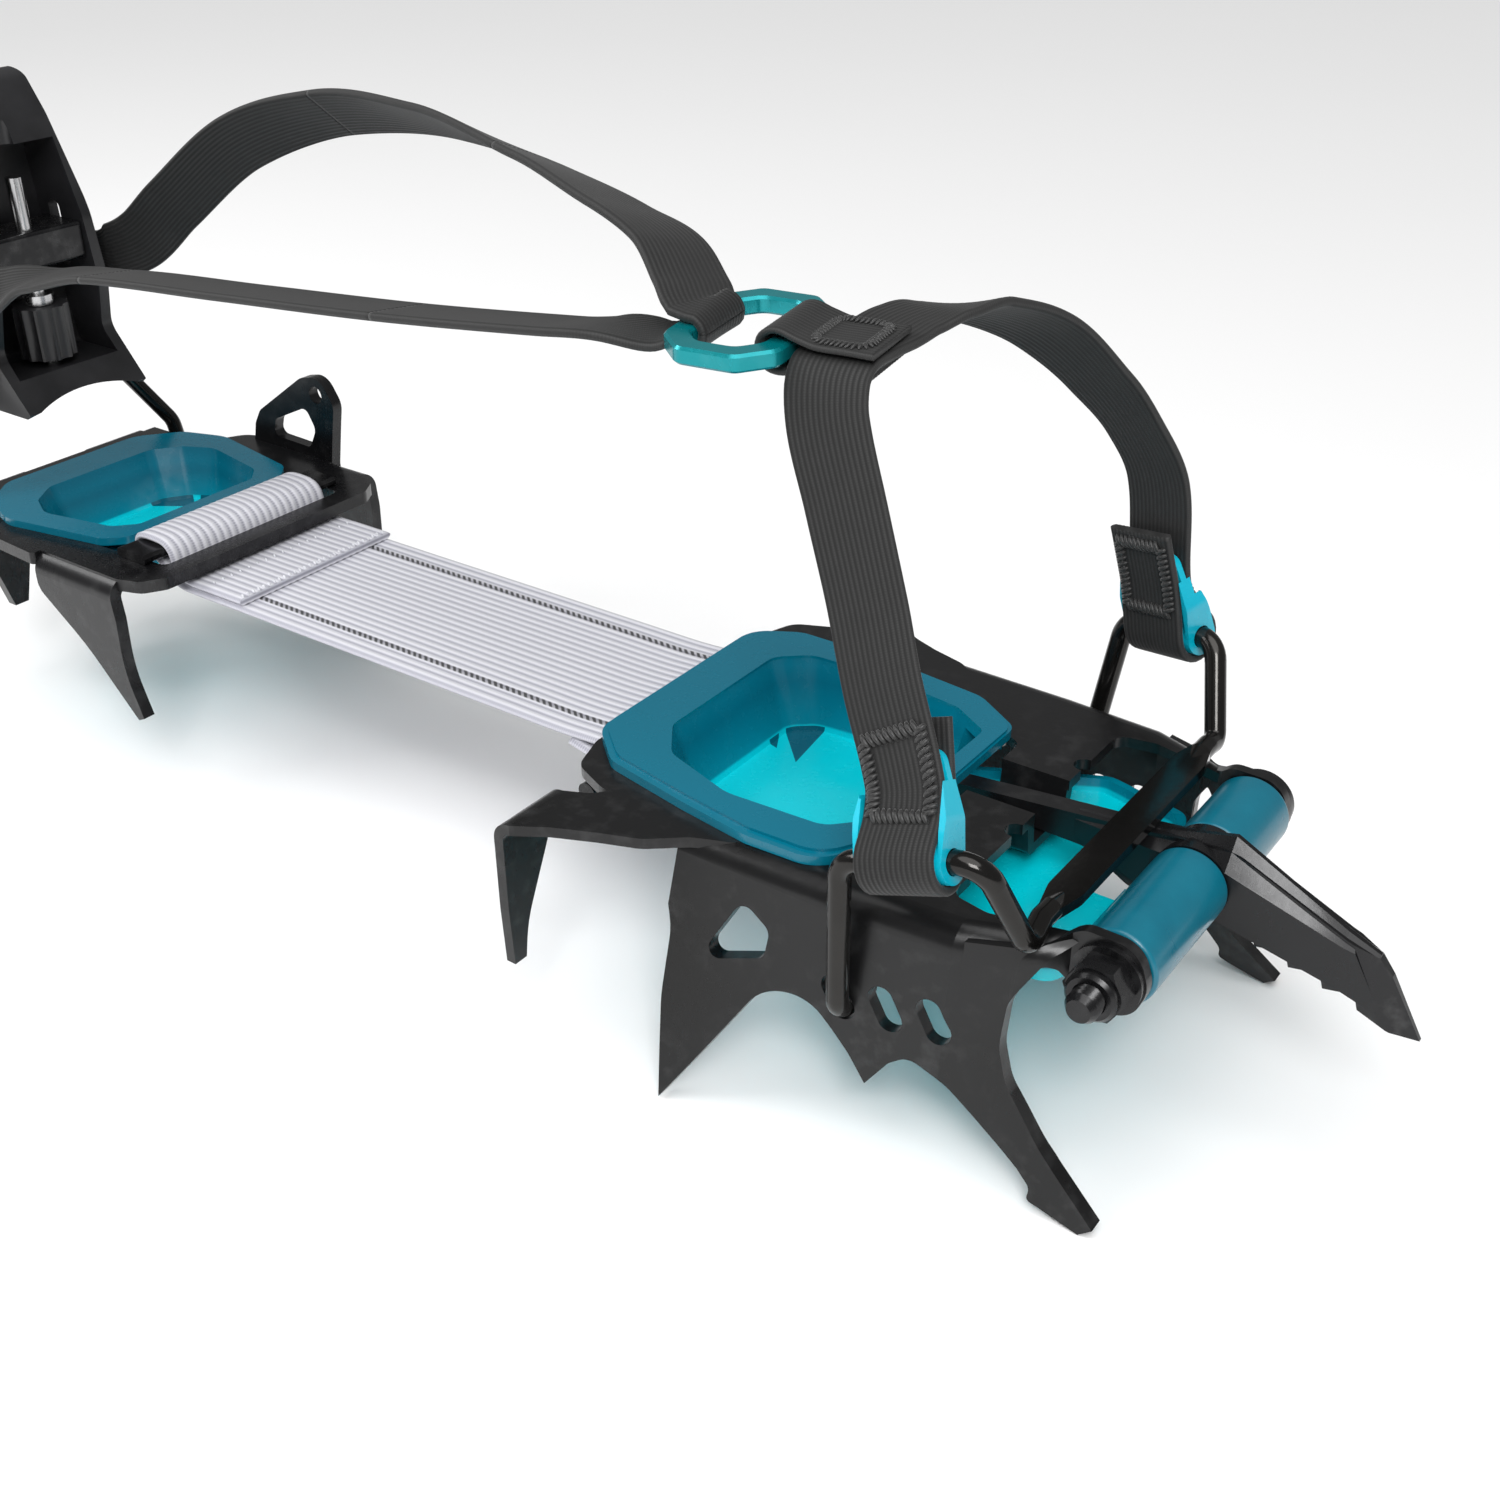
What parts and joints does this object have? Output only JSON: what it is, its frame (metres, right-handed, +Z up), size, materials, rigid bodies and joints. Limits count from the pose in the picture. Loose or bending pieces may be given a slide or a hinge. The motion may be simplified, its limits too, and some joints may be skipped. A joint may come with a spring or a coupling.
{
  "type": "crampon",
  "caption": "Articulated crampon for one boot: folded toe frame with a single front point, wire bail and strap harness, flexible linking strap, heel frame with wire and lever.",
  "frame": {"origin": "middle of the front axle's station at the height of the front frame's top face, where the boot's sole rests", "axes": "+X towards the toe, +Y towards the inner side of the foot, +Z up"},
  "size_m": [0.3761, 0.121, 0.1573],
  "materials": {
    "steel": "satin black coating on sheet steel",
    "blade_steel": "satin black with ground bright faces",
    "black_steel": "black oxide",
    "alloy": "satin black anodised sheet alloy",
    "wire_steel": "polished black wire",
    "bright_steel": "bright turned steel",
    "teal_metal": "teal anodised",
    "teal_tray": "teal flexible plastic, slightly see-through",
    "teal_plastic": "deep teal plastic",
    "cyan_plastic": "bright cyan plastic",
    "black_plastic": "black moulded plastic",
    "dark_webbing": "charcoal woven webbing with lengthwise ribs",
    "pale_webbing": "pale flat woven strap with two speckled tracers"
  },
  "bodies": {
    "front_section": {"front_frame": "steel", "mono_point": "blade_steel", "axle_bolt": "black_steel", "axle_nut": "black_steel", "outer_washer": "black_steel", "inner_washer": "black_steel", "outer_spacer": "teal_plastic", "inner_spacer": "teal_plastic", "front_antisnow_plate": "teal_tray", "front_strap_rod": "black_steel", "linking_strap": "pale_webbing"},
    "toe_harness": {"toe_bail": "wire_steel", "outer_thimble": "cyan_plastic", "inner_thimble": "cyan_plastic", "toe_strap": "dark_webbing", "harness_ring": "teal_metal", "strap_tab": "dark_webbing", "ankle_strap_outer_front": "dark_webbing", "ankle_strap_inner_front": "dark_webbing"},
    "heel_section": {"heel_frame": "alloy", "heel_antisnow_plate": "teal_tray", "heel_strap_bar": "black_steel", "ankle_strap_outer_middle": "dark_webbing", "ankle_strap_inner_middle": "dark_webbing"},
    "heel_wire": {"heel_wire": "wire_steel", "ankle_buckle": "black_plastic", "ankle_strap_outer_rear": "dark_webbing", "ankle_strap_inner_rear": "dark_webbing"},
    "carriage": {"lever_carriage": "black_steel"},
    "lever": {"heel_lever": "black_plastic"},
    "adjuster": {"adjuster_screw": "bright_steel", "adjuster_knob": "black_plastic"}
  },
  "joints": [
    {"name": "bail_swing", "type": "hinge", "parent": "front_section", "child": "toe_harness", "pos_m": [-0.04325, 0, -0.02282], "axis": [0, -1, 0], "range_deg": [0, 45], "deforming": ["ankle_strap_outer_front", "ankle_strap_inner_front"]},
    {"name": "link_flex", "type": "hinge", "parent": "front_section", "child": "heel_section", "pos_m": [-0.175, 0, -0.004], "axis": [0, 1, 0], "range_deg": [-20, 20], "deforming": ["linking_strap", "ankle_strap_outer_middle", "ankle_strap_inner_middle"]},
    {"name": "wire_swing", "type": "hinge", "parent": "heel_section", "child": "heel_wire", "pos_m": [-0.313, 0, -0.005], "axis": [0, -1, 0], "range_deg": [0, 60], "deforming": ["ankle_strap_outer_rear", "ankle_strap_inner_rear"]},
    {"name": "lever_swing", "type": "hinge", "parent": "heel_wire", "child": "carriage", "pos_m": [-0.3205, 0, 0.06], "axis": [0, -1, 0], "range_deg": [0, 80]},
    {"name": "lever_adjust", "type": "slide", "parent": "carriage", "child": "lever", "axis": [0, 0, 1], "range_m": [-0.0035, 0.0035]},
    {"name": "knob_turn", "type": "hinge", "parent": "lever", "child": "adjuster", "pos_m": [-0.3145, 0, 0.04], "axis": [0, 0, 1], "range_deg": [-1260, 1260]}
  ],
  "couplings": [
    {"joint": "knob_turn", "follows": "lever_adjust", "rad_per_m": 6283.2}
  ]
}
